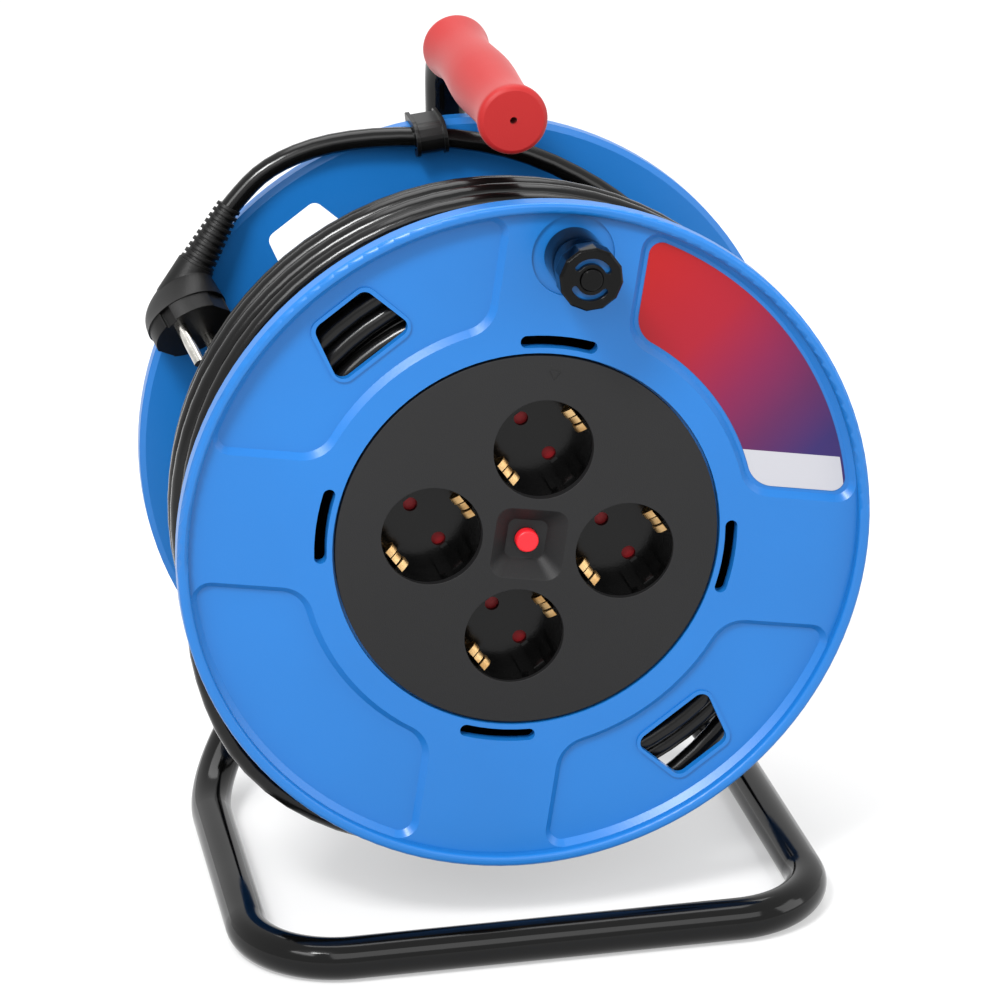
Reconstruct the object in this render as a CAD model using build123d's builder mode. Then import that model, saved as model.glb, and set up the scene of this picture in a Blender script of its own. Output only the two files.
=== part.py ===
from build123d import *
from math import atan2, cos, degrees, hypot, pi, radians, sin, tan
import os

os.makedirs("parts", exist_ok=True)

# Extension cord reel on a tubular steel stand. Millimetres, +Z up, floor at Z = 0, front towards -Y.
# Origin: centre of the footprint on the floor. The drum turns about a line parallel to Y.

# ---- stand tube -------------------------------------------------------------------------------
TUBE_R = 8.6                     # outer radius of the steel tube
TUBE_WALL = 1.5                  # its wall
BASE_HALF_WIDTH = 117.1          # centre line of each side bar from the middle
BASE_DEPTH = 198.0               # front bar to the plane of the rear tubes
BASE_CORNER_R = 38.0             # centre line bend at the front corners
LEG_BEND_R = 52.0                # centre line bend from floor to leg
LEG_LEAN = 38.7                  # lean of each leg from the vertical, degrees
COVER_SKIN = 3.0                 # clamp cover behind the tubes

# ---- drum -------------------------------------------------------------------------------------
AXIS_HEIGHT = 159.5              # drum axis above the centre line of the floor tubes
DRUM_WIDTH = 142.0               # outer face of one rim to outer face of the other
DRUM_TO_STAND = 29.0             # back of the drum to the centre line of the rear tubes
DRUM_TURN = -9.3                 # how far the drum is turned where it is parked, degrees
FLANGE_R = 140.0
RIM_W = 4.5                      # radial width of the rim bead
RIM_ROUND = 1.8
FACE_DROP = 4.0                  # spokes and inner ring below the rim
RELIEF = 2.5                     # panels below the spokes
WEB = 2.5                        # plastic behind the panels
SPOKE_HALF = 29.0                # half width of a spoke at the panel floor
PANEL_IN_R = 92.0
PANEL_RIM_GAP = 2.5              # panel floor stops this far inside the rim
PANEL_CORNER = 12.0
SLOT_R = 83.2                    # curved slots around the plate
SLOT_W = 5.0
SLOT_ARC = 18.0                  # degrees, between the centres of the slot's round ends
WINDOW_IN_R = 100.4              # windows in two of the four panels
WINDOW_OUT_R = 124.9
WINDOW_IN_HALF = 18.2
WINDOW_OUT_HALF = 12.6
WINDOW_CORNER = 4.0
WINDOW_LIP_W = 1.6
WINDOW_LIP_H = 0.8
CORE_R = 80.0
CORE_WALL = 2.5
SPIGOT_FIT = 0.1                 # flange spigot inside the core
SPIGOT_WALL = 3.9
SPIGOT_LEN = 13.0
HUB_R = 26.0
HUB_IN = 15.0                    # hub length inside the rear web
HUB_BACK = 4.0                   # hub boss behind the rear rim
TIE_R = 68.0                     # tie bolts through the barrel
TIE_BOLT_R = 2.0
TIE_BOSS_R = 6.0
TIE_BOSS_LEN = 15.0
TIE_HEAD_R = 4.2
TIE_HEAD_H = 2.8

# ---- socket plate and sockets -----------------------------------------------------------------
PLATE_GAP = 1.2                  # visible gap round the plate
PLATE_R = 77.3
PLATE_FACE = 0.8                 # centre of the domed plate below the rim
PLATE_BACK = 5.6
PLATE_SEAT = 7.7
PLATE_MARK = 5.0                 # small triangle that marks the top of the plate
SOCKET_PITCH = 39.4              # sockets from the drum axis
MOUTH_R = 20.2
CUP_FRONT = 4.9                  # front edge of each cup below the rim
CUP_R = 21.5
CUP_IN_R = 20.0
CUP_FIT = 0.05
CUP_BOTTOM = 19.3
CUP_FLOOR = 2.0
CHAMBER = 3.5                    # shutter chamber behind the floor
COLLAR_R = 23.0
COLLAR_LEN = 4.2
PIN_SPACING = 19.0
PIN_HOLE_R = 2.9
PIN_LINE = -45.0                 # pin line in the drum's own frame, degrees
RIB_W = 5.0
RIB_H = 1.8
SHUTTER_R = 16.0
SHUTTER_T = 2.4
SHUTTER_GAP = 0.4
SHUTTER_TRAVEL = 42.0
PIVOT_R = 2.5
RUN_FIT = 0.08
EARTH_W = 11.0
EARTH_T = 0.8
EARTH_BUMP = 2.2
EARTH_INSET = 1.3                # middle of the strap inside the wall of the recess
EARTH_SPLIT = 0.9                # slits that part the three fingers
CARRIER_R = 61.0
CARRIER_T = 15.0
CONTACT_R = 3.5
CONTACT_BORE = 2.45
POST_R = 4.0                     # plate posts that carry the contact block
POST_PITCH = 56.0
POST_SCREW_R = 1.5
WELL_HALF = 15.0                 # square well of the reset button
WELL_FLOOR_HALF = 8.0
WELL_DEPTH = 7.0
WELL_WALL = 1.6
BUTTON_R = 4.6
BUTTON_TIP = 3.0                 # tip below the plate's face
BUTTON_TRAVEL = 2.5
CUTOUT_HALF = 8.0
CUTOUT_LEN = 27.0

# ---- winding knob -----------------------------------------------------------------------------
KNOB_INSET = 21.5                # knob axis inside the flange's edge
KNOB_SLOT_R = 7.2
KNOB_SLOT_W = 2.4
KNOB_SLOT_ARC = 110.0
KNOB_THREAD = 11.0
KNOB_PILOT = 12.0
KNOB_SINK = 1.0                  # counterbore under the knob screw's head
KNOB_R = 11.4
KNOB_END_R = 12.6
KNOB_OUT = 29.0                  # knob end in front of the rim
KNOB_FACET_LEN = 9.0
KNOB_WALL = 2.5
POST_KNOB_R = 8.6
KNOB_WELL_R = 16.5
KNOB_WELL_D = 1.2
KNOB_LIFT = 0.6

# ---- handle -----------------------------------------------------------------------------------
GRIP_ABOVE_AXIS = 167.0
GRIP_FRONT = 23.0                # front end of the grip behind the drum's front face
GRIP_LEN = 124.0
GRIP_R = 13.9
GRIP_NECK_R = 12.3
GRIP_BELLY_R = 13.4
HANDLE_BEND_R = 23.0
GRIP_FIT = 0.05

# ---- hub bracket and axle ---------------------------------------------------------------------
BRACKET_R = 60.0
BRACKET_GAP = 0.3                # between the drum's hub and the bracket
LEG_END = 14.0                   # each leg stops this far from where their lines cross
HANDLE_FOOT = 22.0               # foot of the handle tube above the axis
AXLE_R = 12.4
AXLE_FLANGE_R = 18.0
AXLE_FLANGE_T = 4.0
AXLE_NOSE = 2.6                  # axle in front of the hub's inner end
WASHER_R = 19.0
WASHER_T = 2.0
CLAMP_BOLT_R = 2.5
CLAMP_HEAD_R = 4.3
CLAMP_HEAD_H = 4.0

# ---- cable ------------------------------------------------------------------------------------
CABLE_R = 4.15
COIL_FIT = 0.15
COIL_END_GAP = 0.2
COIL_FRONT_R = 132.5             # the winding is thicker at the front
COIL_BACK_R = 113.0
COIL_STEP_A = 56.0
COIL_STEP_B = 90.0
SLACK_LOOP_R = 62.0              # one slack turn hangs past the front of the winding
SLACK_REACH = 145.2
SLACK_AT = 222.0
SLACK_DEPTH = 16.0
TAIL_FROM = (40.0, 116.5, 106.0)  # angle, radius, depth where the last turn leaves the winding
TAIL_BENDS = ((62.0, 125.0, 112.0), (84.0, 133.2, 124.0), (108.2, 143.7, 129.5), (122.2, 151.2, 129.0))
CLIP_AT = 96.3
CLIP_INSET = 15.3                # cable in the clip, in front of the rear rim's outer face
CLIP_DROP = 5.1                  # cable in the clip, below the rim's edge
CLIP_ROOM = 1.9
CLIP_W = 14.0
CLIP_T = 3.2
RELIEF_FROM = (131.9, 148.3, 127.1)
PLUG_FACE = (151.7, 133.4, 110.2)
PLUG_NORMAL = (0.301, -0.732, -0.612)
PLUG_ENTRY = (-0.536, -0.102, -0.838)
PLUG_PIN_LINE = (0.635, 0.628, -0.445)
PLUG_R = 16.8                    # round front of the plug
PLUG_EDGE = 7.0                  # its length in front of the hood
HOOD_R = 17.4
HOOD_STATIONS = (                # depth behind the face, shift towards the cable, half sizes
    (12.0, 0.0, 17.6, 13.8),
    (18.0, 0.8, 16.6, 10.0),
    (22.5, 3.2, 12.8, 7.2),
)
PLUG_GROOVE_W = 5.0              # guide grooves at the ends of the pin line
PLUG_GROOVE_D = 1.8
EARTH_POCKET = 1.2               # flats for the earth strips
TAB_DEPTH = 23.0                 # finger tab on the back of the hood
TAB_LEAN = 9.0
TAB_LEN = 14.0
TAB_W = 9.0
TAB_T = 2.0
TAB_SHIFT = 2.5
RELIEF_LEN = 27.4
RELIEF_END_R = 7.6
RELIEF_TIP_R = 5.2
RELIEF_RIBS = 9
RIB_DEPTH = 1.1
NECK_LEN = 16.5
PIN_R = 2.4
PIN_LEN = 19.0

# ---- derived ----------------------------------------------------------------------------------
AXIS_Z = TUBE_R + AXIS_HEIGHT
KNOB_PITCH = FLANGE_R - KNOB_INSET
CLIP_DEPTH = DRUM_WIDTH - CLIP_INSET
CLIP_CABLE_R = FLANGE_R - CLIP_DROP
BACK_Y = (BASE_DEPTH - COVER_SKIN) / 2    # plane of the rear tubes
FRONT_Y = BACK_Y - BASE_DEPTH
REAR_FACE_Y = BACK_Y - DRUM_TO_STAND
FACE_Y = REAR_FACE_Y - DRUM_WIDTH
FLANGE_D = FACE_DROP + RELIEF + WEB
SPIGOT_R = CORE_R - CORE_WALL - SPIGOT_FIT
SPIGOT_IN = SPIGOT_R - SPIGOT_WALL
SPIGOT_END = FLANGE_D + SPIGOT_LEN
CHAMBER_FRONT = CUP_BOTTOM + CUP_FLOOR
CUP_END = CHAMBER_FRONT + CHAMBER
DRUM_AXIS = Axis((0, 0, AXIS_Z), (0, 1, 0))
SECTION = Plane(origin=(0, FACE_Y, AXIS_Z), x_dir=(0, 1, 0), z_dir=(1, 0, 0))


def front_view(depth, turn=DRUM_TURN, x=0.0, z=0.0):
    """Plane seen from the front at this depth behind the drum's front face, turned about the axis."""
    a = radians(turn)
    return Plane(
        origin=(x * cos(a) - z * sin(a), FACE_Y + depth, AXIS_Z + x * sin(a) + z * cos(a)),
        x_dir=(cos(a), 0, sin(a)),
        z_dir=(0, -1, 0),
    )


def rear_view(depth, turn):
    """Plane seen from behind at this depth behind the drum's front face."""
    a = radians(turn)
    return Plane(origin=(0, FACE_Y + depth, AXIS_Z), x_dir=(cos(a), 0, sin(a)), z_dir=(0, 1, 0))


def polar(radius, angle):
    return (radius * cos(radians(angle)), radius * sin(radians(angle)))


def drum_point(angle, radius, depth):
    """Point in space at a polar place round the drum axis, angle from +X towards +Z."""
    x, z = polar(radius, angle)
    return Vector(x, FACE_Y + depth, AXIS_Z + z)


def save(builder, name):
    builder.part.label = name
    export_step(builder.part, f"parts/{name}.step")


# ---- flange features shared by both flanges ---------------------------------------------------
def panel_sketch(plane, inset=0.0):
    """One quadrant's panel floor, between two spokes, the inner ring and the rim."""
    with BuildSketch(plane) as panel:
        Circle(FLANGE_R - RIM_W - PANEL_RIM_GAP - inset)
        Circle(PANEL_IN_R + inset, mode=Mode.SUBTRACT)
        with Locations((SPOKE_HALF + inset, SPOKE_HALF + inset)):
            Rectangle(FLANGE_R, FLANGE_R, align=(Align.MIN, Align.MIN), mode=Mode.INTERSECT)
        corners = panel.vertices().sort_by(lambda v: hypot(v.X, v.Y))
        fillet(corners[:2], PANEL_CORNER)
        corners = panel.vertices().sort_by(lambda v: hypot(v.X, v.Y))
        fillet(corners[-2:], PANEL_RIM_GAP * 2)
    return panel.sketch


def window_sketch(plane, grow):
    """Window, or the lip round it when grown; Y of the plane runs outwards from the drum axis."""
    with BuildSketch(plane) as window:
        with BuildLine():
            Polyline(
                (-WINDOW_IN_HALF - grow, WINDOW_IN_R - grow),
                (WINDOW_IN_HALF + grow, WINDOW_IN_R - grow),
                (WINDOW_OUT_HALF + grow, WINDOW_OUT_R + grow),
                (-WINDOW_OUT_HALF - grow, WINDOW_OUT_R + grow),
                close=True,
            )
        make_face()
        fillet(window.vertices(), WINDOW_CORNER + grow)
    return window.sketch


def slot_sketch(plane, radius, at, arc, width):
    """Curved slot with round ends, centred on a circle about the drum axis."""
    lo = at - arc / 2
    hi = at + arc / 2
    end = degrees(width / 2 / radius)
    with BuildSketch(plane) as slot:
        with BuildLine():
            inner = CenterArc((0, 0), radius - width / 2, lo, arc)
            outer = CenterArc((0, 0), radius + width / 2, lo, arc)
            ThreePointArc(inner @ 1, polar(radius, hi + end), outer @ 1)
            ThreePointArc(inner @ 0, polar(radius, lo - end), outer @ 0)
        make_face()
    return slot.sketch


def cut_flange(side):
    """Panels, windows and slots of the flange that is being built."""
    floor = FACE_DROP + RELIEF
    if side == "front":
        panel_plane = lambda turn: front_view(floor, turn)
        lip_depth = floor
        back_depth = FLANGE_D
    else:
        panel_plane = lambda turn: rear_view(DRUM_WIDTH - floor, turn)
        lip_depth = DRUM_WIDTH - floor + WINDOW_LIP_H
        back_depth = DRUM_WIDTH
    for k in range(4):
        extrude(
            panel_sketch(panel_plane(DRUM_TURN + 90 * k)), amount=RELIEF, taper=-45, mode=Mode.SUBTRACT
        )
    for turn in (45, -135):
        lip = window_sketch(front_view(lip_depth, DRUM_TURN + turn), WINDOW_LIP_W)
        extrude(lip, amount=WINDOW_LIP_H)
        hole = window_sketch(front_view(back_depth, DRUM_TURN + turn), 0)
        extrude(hole, amount=FLANGE_D, mode=Mode.SUBTRACT)
    for k in range(4):
        slot = slot_sketch(front_view(back_depth), SLOT_R, 90 * k, SLOT_ARC, SLOT_W)
        extrude(slot, amount=FLANGE_D, mode=Mode.SUBTRACT)


# ---- front flange -----------------------------------------------------------------------------
with BuildPart() as front_flange:
    with BuildSketch(SECTION) as profile:
        with BuildLine():
            Polyline(
                (0, FLANGE_R),
                (FLANGE_D - 1.2, FLANGE_R),
                (FLANGE_D, FLANGE_R - 2.5),
                (FLANGE_D, SPIGOT_R),
                (SPIGOT_END, SPIGOT_R),
                (SPIGOT_END, SPIGOT_IN),
                (PLATE_SEAT, SPIGOT_IN),
                (PLATE_SEAT, PLATE_R + PLATE_GAP),
                (FACE_DROP, PLATE_R + PLATE_GAP),
                (FACE_DROP, FLANGE_R - RIM_W),
                (0, FLANGE_R - RIM_W),
                close=True,
            )
        make_face()
        fillet(profile.vertices().group_by(Axis.X)[0], RIM_ROUND)
    revolve(axis=DRUM_AXIS)
    for k in range(4):
        boss_x, boss_z = polar(TIE_R, 90 * k)
        with BuildSketch(front_view(FLANGE_D + TIE_BOSS_LEN, x=boss_x, z=boss_z)):
            Circle(TIE_BOSS_R)
        extrude(amount=TIE_BOSS_LEN - 1.5)
        with BuildSketch(front_view(FLANGE_D + TIE_BOSS_LEN, x=boss_x, z=boss_z)):
            Circle(TIE_BOLT_R)
        extrude(amount=TIE_BOSS_LEN - 3, mode=Mode.SUBTRACT)
    cut_flange("front")
    knob_x, knob_z = polar(KNOB_PITCH, 90)
    with BuildSketch(front_view(FACE_DROP + KNOB_WELL_D, x=knob_x, z=knob_z)):
        Circle(KNOB_WELL_R)
    extrude(amount=KNOB_WELL_D, mode=Mode.SUBTRACT)
    KNOB_POST_END = -KNOB_OUT + KNOB_WALL + RUN_FIT * 3
    with BuildSketch(front_view(FACE_DROP + KNOB_WELL_D, x=knob_x, z=knob_z)):
        Circle(POST_KNOB_R)
    extrude(amount=FACE_DROP + KNOB_WELL_D - KNOB_POST_END)
    with BuildSketch(front_view(KNOB_POST_END + KNOB_PILOT, x=knob_x, z=knob_z)):
        Circle(TIE_BOLT_R)
    extrude(amount=KNOB_PILOT, mode=Mode.SUBTRACT)
save(front_flange, "front_flange")

# ---- rear flange with the hub -----------------------------------------------------------------
W = DRUM_WIDTH
BORE_R = 12.5
with BuildPart() as rear_flange:
    with BuildSketch(SECTION) as profile:
        with BuildLine():
            Polyline(
                (W, FLANGE_R),
                (W - FLANGE_D + 1.2, FLANGE_R),
                (W - FLANGE_D, FLANGE_R - 2.5),
                (W - FLANGE_D, SPIGOT_R),
                (W - SPIGOT_END, SPIGOT_R),
                (W - SPIGOT_END, SPIGOT_IN),
                (W - FLANGE_D, SPIGOT_IN),
                (W - FLANGE_D, HUB_R),
                (W - FLANGE_D - HUB_IN, HUB_R),
                (W - FLANGE_D - HUB_IN, BORE_R),
                (W + HUB_BACK, BORE_R),
                (W + HUB_BACK, HUB_R),
                (W - FACE_DROP, HUB_R),
                (W - FACE_DROP, FLANGE_R - RIM_W),
                (W, FLANGE_R - RIM_W),
                close=True,
            )
        make_face()
        rim = profile.vertices().filter_by(lambda v: v.X > W - 0.1 and v.Y > HUB_R * 2)
        fillet(rim, RIM_ROUND)
    revolve(axis=DRUM_AXIS)
    for k in range(4):
        bolt_x, bolt_z = polar(TIE_R, 90 * k)
        with BuildSketch(front_view(W, x=bolt_x, z=bolt_z)):
            Circle(TIE_BOLT_R)
        extrude(amount=FLANGE_D, mode=Mode.SUBTRACT)
    cut_flange("rear")
save(rear_flange, "rear_flange")

# ---- drum core --------------------------------------------------------------------------------
GLAND_AT = 240.0                 # where the inner end of the cable enters the barrel
GLAND_DEPTH = FLANGE_D + 9.0
GLAND_R = 7.0
core_length = W - 2 * FLANGE_D
with BuildPart() as drum_core:
    with BuildSketch(front_view(W - FLANGE_D)):
        Circle(CORE_R)
        Circle(CORE_R - CORE_WALL, mode=Mode.SUBTRACT)
    extrude(amount=core_length)
    gx, gz = polar(1.0, GLAND_AT)
    gland_plane = Plane(origin=(0, FACE_Y + GLAND_DEPTH + SPIGOT_LEN, AXIS_Z), x_dir=(0, 1, 0), z_dir=(gx, 0, gz))
    with BuildSketch(gland_plane):
        Circle(GLAND_R)
    extrude(amount=CORE_R + 5, mode=Mode.SUBTRACT)
save(drum_core, "drum_core")

with BuildPart() as core_gland:
    with BuildSketch(gland_plane.offset(CORE_R - 9)):
        Circle(GLAND_R + 2)
    extrude(amount=9 - CORE_WALL - 1.0)
    with BuildSketch(gland_plane.offset(CORE_R - 9)):
        Circle(GLAND_R - SPIGOT_FIT)
    extrude(amount=9 - 0.6)
    with BuildSketch(gland_plane.offset(CORE_R - 9)):
        Circle(CABLE_R + SPIGOT_FIT)
    extrude(amount=9, mode=Mode.SUBTRACT)
save(core_gland, "core_gland")

# ---- tie bolts --------------------------------------------------------------------------------
with BuildPart() as tie_bolts:
    for k in range(4):
        bolt_x, bolt_z = polar(TIE_R, 90 * k)
        with BuildSketch(front_view(W - FACE_DROP + TIE_HEAD_H, x=bolt_x, z=bolt_z)):
            Circle(TIE_HEAD_R)
        extrude(amount=TIE_HEAD_H)
        with BuildSketch(front_view(W - FACE_DROP, x=bolt_x, z=bolt_z)):
            Circle(TIE_BOLT_R)
        extrude(amount=W - FACE_DROP - FLANGE_D - 6)
save(tie_bolts, "tie_bolts")

# ---- socket plate -----------------------------------------------------------------------------
SOCKETS = [polar(SOCKET_PITCH, 90 * k) for k in range(4)]
with BuildPart() as socket_plate:
    with BuildSketch(SECTION) as profile:
        with BuildLine():
            dome_edge = FACE_DROP + 0.2
            dome_mid = PLATE_FACE + (dome_edge - PLATE_FACE) / 4
            dome = ThreePointArc((dome_edge, PLATE_R), (dome_mid, PLATE_R / 2), (PLATE_FACE, 0))
            Polyline(
                dome @ 1,
                (PLATE_BACK, 0),
                (PLATE_BACK, SPIGOT_IN - 3),
                (PLATE_SEAT, SPIGOT_IN - 1),
                (PLATE_SEAT, PLATE_R),
                dome @ 0,
            )
        make_face()
    revolve(axis=DRUM_AXIS)
    for x, z in SOCKETS:
        with BuildSketch(front_view(PLATE_BACK + COLLAR_LEN, x=x, z=z)):
            Circle(COLLAR_R)
        extrude(amount=COLLAR_LEN + 0.5)
    for x, z in SOCKETS:
        with BuildSketch(front_view(PLATE_BACK + COLLAR_LEN, x=x, z=z)):
            Circle(CUP_R + CUP_FIT)
        extrude(amount=PLATE_BACK + COLLAR_LEN - CUP_FRONT, mode=Mode.SUBTRACT)
        with BuildSketch(front_view(CUP_FRONT, x=x, z=z)):
            Circle(MOUTH_R)
        extrude(amount=CUP_FRONT + 1, mode=Mode.SUBTRACT)
    with BuildSketch(front_view(PLATE_FACE + WELL_DEPTH + WELL_WALL)):
        RectangleRounded(2 * WELL_HALF - 6, 2 * WELL_HALF - 6, 4)
    extrude(amount=WELL_DEPTH + WELL_WALL - 1)
    with BuildSketch(front_view(PLATE_FACE - 0.2)):
        RectangleRounded(2 * WELL_HALF, 2 * WELL_HALF, 6)
    with BuildSketch(front_view(PLATE_FACE + WELL_DEPTH)):
        RectangleRounded(2 * WELL_FLOOR_HALF, 2 * WELL_FLOOR_HALF, 3)
    loft(mode=Mode.SUBTRACT)
    with BuildSketch(front_view(PLATE_FACE + WELL_DEPTH + WELL_WALL)):
        Circle(BUTTON_R + RUN_FIT)
    extrude(amount=WELL_WALL + 1, mode=Mode.SUBTRACT)
    for k in range(4):
        x, z = polar(POST_PITCH, 45 + 90 * k)
        with BuildSketch(front_view(CUP_END, x=x, z=z)):
            Circle(POST_R)
            Circle(POST_SCREW_R, mode=Mode.SUBTRACT)
        extrude(amount=CUP_END - PLATE_BACK + 0.5)
    with BuildSketch(front_view(FACE_DROP, x=0, z=PLATE_R - 7)):
        RegularPolygon(PLATE_MARK / 2, 3, rotation=-90)
    extrude(amount=0.7)
save(socket_plate, "socket_plate")

# ---- socket cups, shutters and earth clips ----------------------------------------------------
def pin_view(depth, number):
    """Plane at one socket, seen from the front, with X along the socket's pin line."""
    x, z = polar(SOCKET_PITCH, 90 * (number - 1) - PIN_LINE)
    return front_view(depth, DRUM_TURN + PIN_LINE, x, z)


for number, (sx, sz) in enumerate(SOCKETS, start=1):
    with BuildPart() as cup:
        with BuildSketch(front_view(CUP_END, x=sx, z=sz)):
            Circle(CUP_R)
            Circle(CUP_IN_R, mode=Mode.SUBTRACT)
        extrude(amount=CUP_END - CUP_FRONT)
        with BuildSketch(front_view(CHAMBER_FRONT, x=sx, z=sz)):
            Circle(CUP_IN_R + 0.5)
        extrude(amount=CUP_FLOOR)
        with BuildSketch(front_view(CUP_END - SHUTTER_GAP, x=sx, z=sz)):
            Circle(PIVOT_R)
        extrude(amount=CHAMBER)
        with BuildSketch(pin_view(CHAMBER_FRONT, number)):
            with Locations((CUP_IN_R - RIB_H / 2 + 0.4, 0), (-CUP_IN_R + RIB_H / 2 - 0.4, 0)):
                Rectangle(RIB_H + 0.8, RIB_W)
        extrude(amount=CHAMBER_FRONT - CUP_FRONT - 1)
        with BuildSketch(pin_view(CHAMBER_FRONT, number)):
            with Locations((PIN_SPACING / 2, 0), (-PIN_SPACING / 2, 0)):
                Circle(PIN_HOLE_R)
            with Locations((0, CUP_IN_R - EARTH_INSET), (0, -CUP_IN_R + EARTH_INSET)):
                Rectangle(EARTH_W + 0.6, EARTH_T + 0.8)
        extrude(amount=CUP_FLOOR, mode=Mode.SUBTRACT)
    save(cup, f"socket_cup_{number}")

    with BuildPart() as shutter:
        with BuildSketch(pin_view(CHAMBER_FRONT + SHUTTER_GAP + SHUTTER_T, number)):
            Circle(SHUTTER_R)
            Circle(PIVOT_R + RUN_FIT, mode=Mode.SUBTRACT)
            with PolarLocations(PIN_SPACING / 2, 2, start_angle=-SHUTTER_TRAVEL):
                Circle(PIN_HOLE_R, mode=Mode.SUBTRACT)
        extrude(amount=SHUTTER_T)
    save(shutter, f"shutter_{number}")

    ex, ez = polar(1.0, DRUM_TURN + PIN_LINE + 90)
    cx, cz = polar(SOCKET_PITCH, 90 * number - 90 + DRUM_TURN)
    with BuildPart() as earth_clip:
        clip_plane = Plane(origin=(cx, FACE_Y, AXIS_Z + cz), x_dir=(ex, 0, ez), z_dir=(-ez, 0, ex))
        with BuildSketch(clip_plane) as strip:
            with BuildLine() as strip_line:
                edge = CUP_IN_R - EARTH_INSET
                back = CUP_END + EARTH_T / 2
                Polyline(
                    (edge - 0.6, 7.0),
                    (edge - EARTH_BUMP, 9.5),
                    (edge, 13.0),
                    (edge, back),
                    (-edge, back),
                    (-edge, 13.0),
                    (-edge + EARTH_BUMP, 9.5),
                    (-edge + 0.6, 7.0),
                )
            trace(line_width=EARTH_T)
        extrude(amount=EARTH_W / 2, both=True)
        with BuildSketch(pin_view(15.0, number)):
            with Locations((EARTH_W / 6, 0), (-EARTH_W / 6, 0)):
                Rectangle(EARTH_SPLIT, 2 * CUP_IN_R)
        extrude(amount=10, mode=Mode.SUBTRACT)
    save(earth_clip, f"earth_clip_{number}")

# ---- contact block and its metal --------------------------------------------------------------
CARRIER_END = CUP_END + CARRIER_T
CONTACT_X, CONTACT_Z = polar(PIN_SPACING / 2, PIN_LINE)
NEUTRAL_STEP = 4.0               # neutral ring behind the line ring
RING_W = 4.0
RING_T = 0.8
with BuildPart() as contact_block:
    with BuildSketch(front_view(CARRIER_END)):
        Circle(CARRIER_R)
        RectangleRounded(2 * CUTOUT_HALF + 0.2, 2 * CUTOUT_HALF + 0.2, 1.5, mode=Mode.SUBTRACT)
        for x, z in SOCKETS:
            with Locations((x + CONTACT_X, z + CONTACT_Z), (x - CONTACT_X, z - CONTACT_Z)):
                Circle(CONTACT_R + CUP_FIT, mode=Mode.SUBTRACT)
        with PolarLocations(POST_PITCH, 4, start_angle=45):
            Circle(POST_SCREW_R + 0.1, mode=Mode.SUBTRACT)
    extrude(amount=CARRIER_T)
    for x, z in SOCKETS:
        with BuildSketch(front_view(CUP_END + EARTH_T, x=x, z=z)):
            Rectangle(2 * CUP_IN_R, EARTH_W + 0.6, rotation=PIN_LINE + 90)
        extrude(amount=EARTH_T, mode=Mode.SUBTRACT)
    with BuildSketch(front_view(CUP_END + EARTH_T + RING_T)):
        Circle(SOCKET_PITCH + RING_W / 2 + CUP_FIT)
        Circle(SOCKET_PITCH - RING_W / 2 - CUP_FIT, mode=Mode.SUBTRACT)
    extrude(amount=EARTH_T + RING_T, mode=Mode.SUBTRACT)
save(contact_block, "contact_block")

with BuildPart() as earth_ring:
    with BuildSketch(front_view(CUP_END + EARTH_T + RING_T)):
        Circle(SOCKET_PITCH + RING_W / 2)
        Circle(SOCKET_PITCH - RING_W / 2, mode=Mode.SUBTRACT)
    extrude(amount=RING_T)
save(earth_ring, "earth_ring")

for name, side, step in (("line_contacts", 1, 0.0), ("neutral_contacts", -1, NEUTRAL_STEP)):
    with BuildPart() as contacts:
        with BuildSketch(front_view(CARRIER_END + step + RING_T)):
            with Locations((side * CONTACT_X, side * CONTACT_Z)):
                Circle(SOCKET_PITCH + RING_W / 2)
                Circle(SOCKET_PITCH - RING_W / 2, mode=Mode.SUBTRACT)
        extrude(amount=RING_T)
        with BuildSketch(front_view(CARRIER_END + step + RING_T)):
            for x, z in SOCKETS:
                with Locations((x + side * CONTACT_X, z + side * CONTACT_Z)):
                    Circle(CONTACT_R)
        extrude(amount=CARRIER_T + step + RING_T - 2)
        with BuildSketch(front_view(CARRIER_END + step + RING_T)):
            for x, z in SOCKETS:
                with Locations((x + side * CONTACT_X, z + side * CONTACT_Z)):
                    Circle(CONTACT_BORE)
        extrude(amount=CARRIER_T + step + RING_T, mode=Mode.SUBTRACT)
    save(contacts, name)

with BuildPart() as block_screws:
    for k in range(4):
        x, z = polar(POST_PITCH, 45 + 90 * k)
        with BuildSketch(front_view(CARRIER_END + 2, x=x, z=z)):
            Circle(POST_SCREW_R * 2)
        extrude(amount=2)
        with BuildSketch(front_view(CARRIER_END, x=x, z=z)):
            Circle(POST_SCREW_R)
        extrude(amount=CARRIER_T + 8)
save(block_screws, "block_screws")

# ---- thermal cut-out with its reset button ----------------------------------------------------
WELL_BACK = PLATE_FACE + WELL_DEPTH + WELL_WALL
COLLAR_BTN_R = BUTTON_R + 0.9
with BuildPart() as cutout_body:
    with BuildSketch(front_view(WELL_BACK + CUTOUT_LEN)):
        RectangleRounded(2 * CUTOUT_HALF, 2 * CUTOUT_HALF, 1.5)
    extrude(amount=CUTOUT_LEN)
    with BuildSketch(front_view(WELL_BACK + 8)):
        Circle(COLLAR_BTN_R + RUN_FIT)
    extrude(amount=8, mode=Mode.SUBTRACT)
save(cutout_body, "cutout_body")

with BuildPart() as reset_button:
    with BuildSketch(front_view(WELL_BACK + 1.6)):
        Circle(BUTTON_R)
    extrude(amount=WELL_BACK + 1.6 - PLATE_FACE - BUTTON_TIP)
    fillet(reset_button.edges().sort_by(Axis.Y)[0], 1.2)
    with BuildSketch(front_view(WELL_BACK + 1.6)):
        Circle(COLLAR_BTN_R)
    extrude(amount=1.5)
    with BuildSketch(front_view(WELL_BACK + 4.5)):
        Circle(BUTTON_R - 1.6)
    extrude(amount=3)
save(reset_button, "reset_button")

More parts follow.
